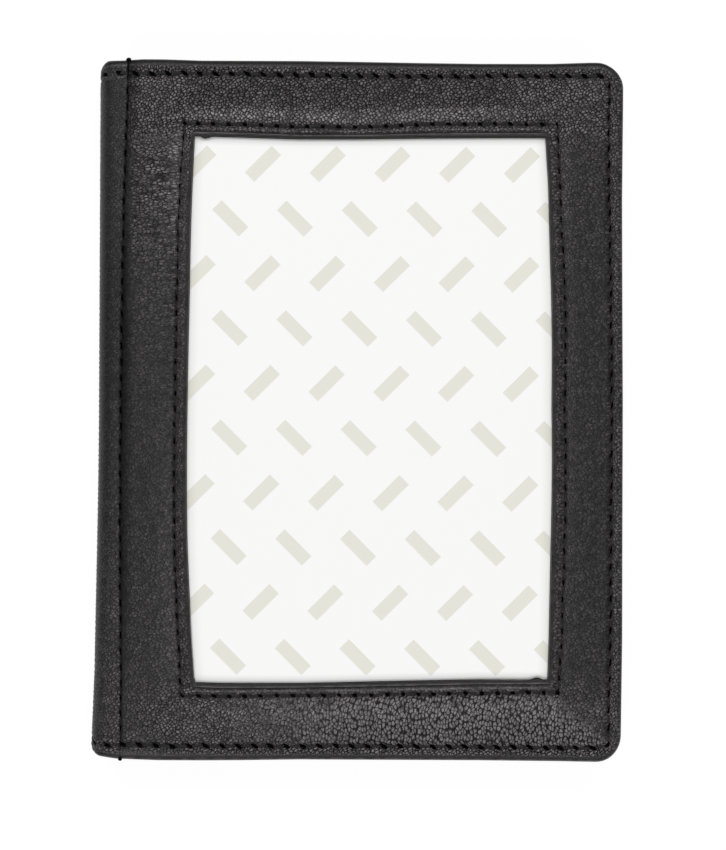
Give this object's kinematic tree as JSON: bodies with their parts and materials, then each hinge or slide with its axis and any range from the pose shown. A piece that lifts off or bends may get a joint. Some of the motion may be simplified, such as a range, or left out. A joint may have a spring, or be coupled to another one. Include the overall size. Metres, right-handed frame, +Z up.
{
  "type": "passport cover",
  "caption": "Padded leather passport cover with a stitched picture window, a release liner over adhesive, inner pockets and a folding spine.",
  "frame": {"origin": "middle of the footprint of the closed cover, on the surface that it lies on", "axes": "+X from the spine to the fore edge, +Y from foot to head, +Z up out of the front with the window"},
  "size_m": [0.105, 0.14, 0.0116],
  "materials": {
    "black_leather": "pebble grain, semi-matt",
    "pocket_leather": "smooth, semi-matt",
    "lining": "fine plain weave",
    "thread": "twisted, waxed",
    "foam": "soft felted pad",
    "board": "smooth grey board",
    "adhesive": "tacky film",
    "liner_paper": "silicone-coated, satin"
  },
  "bodies": {
    "back_cover": {"back_leather": "black_leather", "back_foam": "foam", "back_board": "board", "back_lining": "lining", "back_pocket_hem": "pocket_leather", "back_pocket_flap": "pocket_leather", "back_edge_thread": "thread", "back_spine_thread": "thread"},
    "spine": {"spine_leather": "black_leather", "spine_lining": "lining"},
    "front_cover": {"front_leather": "black_leather", "front_foam": "foam", "front_board": "board", "adhesive_sheet": "adhesive", "front_lining": "lining", "front_pocket_hem": "pocket_leather", "front_pocket_flap": "pocket_leather", "front_edge_thread": "thread", "window_thread": "thread", "front_spine_thread": "thread"},
    "liner": {"release_liner": "liner_paper"}
  },
  "joints": [
    {"name": "back_fold", "type": "hinge", "parent": "back_cover", "child": "spine", "pos_m": [-0.05175, 0, 0.00125], "axis": [0, -1, 0], "range_deg": [0, 90]},
    {"name": "front_fold", "type": "hinge", "parent": "spine", "child": "front_cover", "pos_m": [-0.05175, 0, 0.01035], "axis": [0, -1, 0], "range_deg": [0, 90]},
    {"name": "liner_lift", "type": "slide", "parent": "front_cover", "child": "liner", "axis": [0, 0, 1], "range_m": [0, 0.03]}
  ]
}
